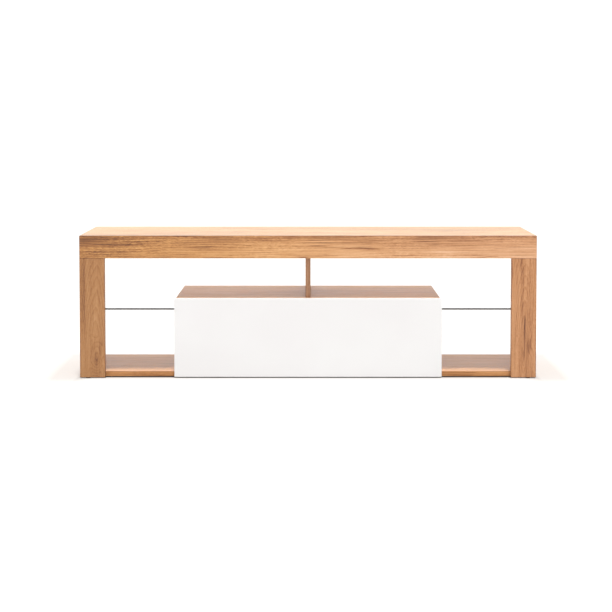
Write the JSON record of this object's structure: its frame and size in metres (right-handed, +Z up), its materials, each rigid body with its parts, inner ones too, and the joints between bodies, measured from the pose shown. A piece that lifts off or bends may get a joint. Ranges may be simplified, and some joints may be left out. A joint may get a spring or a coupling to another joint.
{
  "type": "tv stand",
  "caption": "Low oak-look TV stand on broad board legs, with a white drop-down flap cupboard in the middle and a glass shelf in the open bay at each side.",
  "frame": {"origin": "on the floor, under the middle of the stand", "axes": "+X to the right of a person facing the stand, the front faces -Y, +Z up"},
  "size_m": [1.45, 0.35, 0.455],
  "materials": {
    "oak_board": "satin oak-look melamine foil on chipboard, with visible streaks and small knots",
    "white_gloss_board": "white lacquered fibreboard, semi-gloss",
    "back_panel": "thin hardboard with a plain printed face",
    "beech": "plain turned beech",
    "clear_glass": "clear toughened glass with polished edges",
    "nickel": "nickel-plated steel",
    "bright_steel": "bright turned steel",
    "zinc": "zinc-plated",
    "grey_plastic": "fine moulded texture",
    "white_plastic": "smooth moulded",
    "brown_plastic": "smooth moulded, matched to the boards",
    "black_plastic": "smooth moulded",
    "clear_pad": "clear soft pad"
  },
  "bodies": {
    "carcass": {"back_panel_nails": "zinc", "bottom_panel": "oak_board", "cam_bolts": "zinc", "cam_caps": "brown_plastic", "cam_discs": "zinc", "confirmat_screws": "zinc", "cupboard_back": "back_panel", "cupboard_divider": "oak_board", "cupboard_side_left": "oak_board", "cupboard_side_right": "oak_board", "cupboard_top": "oak_board", "floor_glides": "black_plastic", "glass_shelf_left": "clear_glass", "glass_shelf_right": "clear_glass", "hinge_base_leaves": "nickel", "hinge_base_screws": "zinc", "hinge_pins": "bright_steel", "latch_housings": "grey_plastic", "latch_screws": "zinc", "latch_spring_left": "bright_steel", "latch_spring_right": "bright_steel", "leg_strip_left": "oak_board", "leg_strip_right": "oak_board", "rear_rail": "oak_board", "shelf_pin_pads": "clear_pad", "shelf_pins": "nickel", "side_panel_left": "oak_board", "side_panel_right": "oak_board", "stay_housing_left": "grey_plastic", "stay_housing_right": "grey_plastic", "stay_housing_screws": "zinc", "top_fascia": "oak_board", "top_panel": "oak_board", "upper_partition": "oak_board", "wood_dowels": "beech"},
    "flap": {"flap_door": "white_gloss_board", "hinge_flap_leaves": "nickel", "hinge_flap_screws": "zinc", "stay_brackets": "nickel", "stay_bracket_studs": "bright_steel", "stay_bracket_screws": "zinc", "latch_strikers": "nickel"},
    "crank_left": {"stay_crank_left": "nickel", "stay_crank_stud_left": "bright_steel"},
    "bar_left": {"stay_bar_left": "nickel"},
    "plunger_left": {"latch_plunger_left": "white_plastic", "latch_magnet_left": "bright_steel"},
    "crank_right": {"stay_crank_right": "nickel", "stay_crank_stud_right": "bright_steel"},
    "bar_right": {"stay_bar_right": "nickel"},
    "plunger_right": {"latch_plunger_right": "white_plastic", "latch_magnet_right": "bright_steel"}
  },
  "joints": [
    {"name": "flap_hinge", "type": "hinge", "parent": "carcass", "child": "flap", "pos_m": [0, -0.167, 0.0125], "axis": [1, 0, 0], "range_deg": [0, 90]},
    {"name": "brake_shaft_left", "type": "hinge", "parent": "carcass", "child": "crank_left", "pos_m": [-0.391, -0.063, 0.0725], "axis": [1, 0, 0], "range_deg": [0, 90]},
    {"name": "bar_pivot_left", "type": "hinge", "parent": "flap", "child": "bar_left", "pos_m": [-0.3875, -0.147, 0.0725], "axis": [1, 0, 0], "range_deg": [-90, 0]},
    {"name": "push_latch_left", "type": "slide", "parent": "carcass", "child": "plunger_left", "axis": [0, -1, 0], "range_m": [0, 0.018]},
    {"name": "brake_shaft_right", "type": "hinge", "parent": "carcass", "child": "crank_right", "pos_m": [0.391, -0.063, 0.0725], "axis": [1, 0, 0], "range_deg": [0, 90]},
    {"name": "bar_pivot_right", "type": "hinge", "parent": "flap", "child": "bar_right", "pos_m": [0.3875, -0.147, 0.0725], "axis": [1, 0, 0], "range_deg": [-90, 0]},
    {"name": "push_latch_right", "type": "slide", "parent": "carcass", "child": "plunger_right", "axis": [0, -1, 0], "range_m": [0, 0.018]}
  ],
  "couplings": [
    {"joint": "brake_shaft_left", "follows": "flap_hinge", "ratio": 1},
    {"joint": "bar_pivot_left", "follows": "flap_hinge", "ratio": -1},
    {"joint": "push_latch_left", "follows": "flap_hinge", "m_per_rad": 0.011459},
    {"joint": "brake_shaft_right", "follows": "flap_hinge", "ratio": 1},
    {"joint": "bar_pivot_right", "follows": "flap_hinge", "ratio": -1},
    {"joint": "push_latch_right", "follows": "flap_hinge", "m_per_rad": 0.011459}
  ]
}
